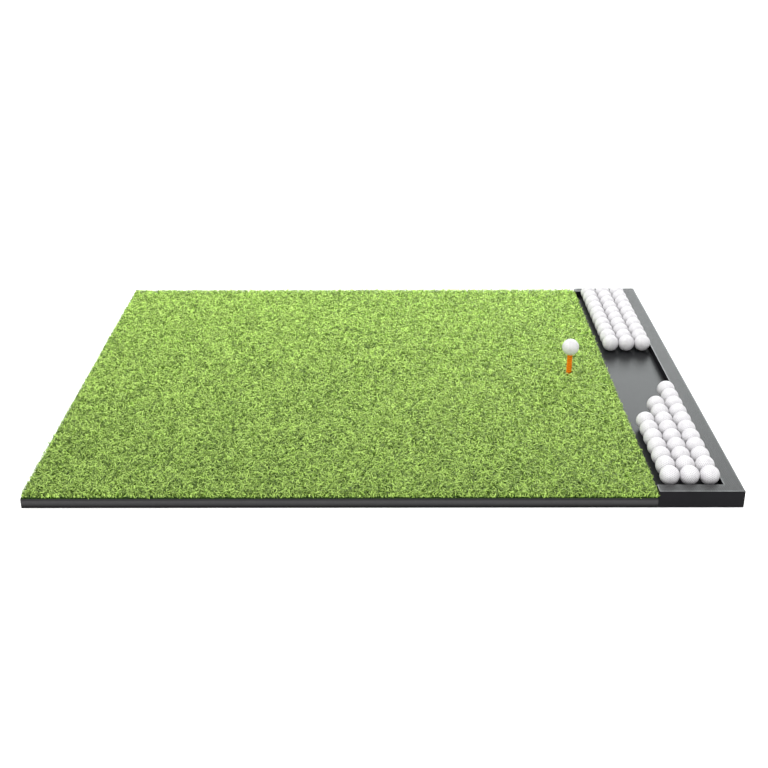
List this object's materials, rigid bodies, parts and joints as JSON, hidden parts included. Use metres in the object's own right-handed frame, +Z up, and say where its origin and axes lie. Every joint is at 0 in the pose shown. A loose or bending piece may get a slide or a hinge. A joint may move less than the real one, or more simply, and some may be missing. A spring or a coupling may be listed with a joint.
{
  "type": "golf hitting mat",
  "caption": "Golf hitting mat of layered turf and foam, with a rubber tee, a low ball tray along its side, and golf balls in the tray.",
  "frame": {"origin": "floor level, under the middle of the mat and tray together", "axes": "+X from the mat towards the ball tray, +Y towards the target, +Z up"},
  "size_m": [1.524, 1.219, 0.1272],
  "materials": {
    "base_rubber": "matte",
    "pad_foam": "matte",
    "backing_coat": "matte",
    "turf_yarn": "matte",
    "tray_rubber": "satin",
    "tee_rubber": "satin",
    "ball_cover": "gloss"
  },
  "bodies": {
    "mat": {"base_sheet": "base_rubber", "foam_pad": "pad_foam", "turf_backing": "backing_coat", "turf_pile": "turf_yarn", "tee_foot": "tee_rubber"},
    "tray": {"ball_tray": "tray_rubber"},
    "tee": {"tee_post": "tee_rubber"},
    "teed_ball": {"tee_ball": "ball_cover"},
    "front_balls": {"front_balls_left": "ball_cover", "front_balls_middle": "ball_cover", "front_balls_right": "ball_cover"},
    "far_balls": {"far_balls_left": "ball_cover", "far_balls_middle": "ball_cover", "far_balls_right": "ball_cover"}
  },
  "joints": [
    {"name": "tray_pull", "type": "slide", "parent": "mat", "child": "tray", "axis": [1, 0, 0], "range_m": [0, 0.12]},
    {"name": "tee_flex", "type": "hinge", "parent": "mat", "child": "tee", "pos_m": [0.4786, 0, 0.043], "axis": [-1, 0, 0], "range_deg": [-60, 60], "stiffness_Nm_per_rad": 0.6},
    {"name": "teed_ball_lift", "type": "slide", "parent": "tee", "child": "teed_ball", "axis": [0, 0, 1], "range_m": [0, 0.08]},
    {"name": "front_balls_lift", "type": "slide", "parent": "tray", "child": "front_balls", "axis": [0, 0, 1], "range_m": [0, 0.06]},
    {"name": "far_balls_lift", "type": "slide", "parent": "tray", "child": "far_balls", "axis": [0, 0, 1], "range_m": [0, 0.06]}
  ]
}
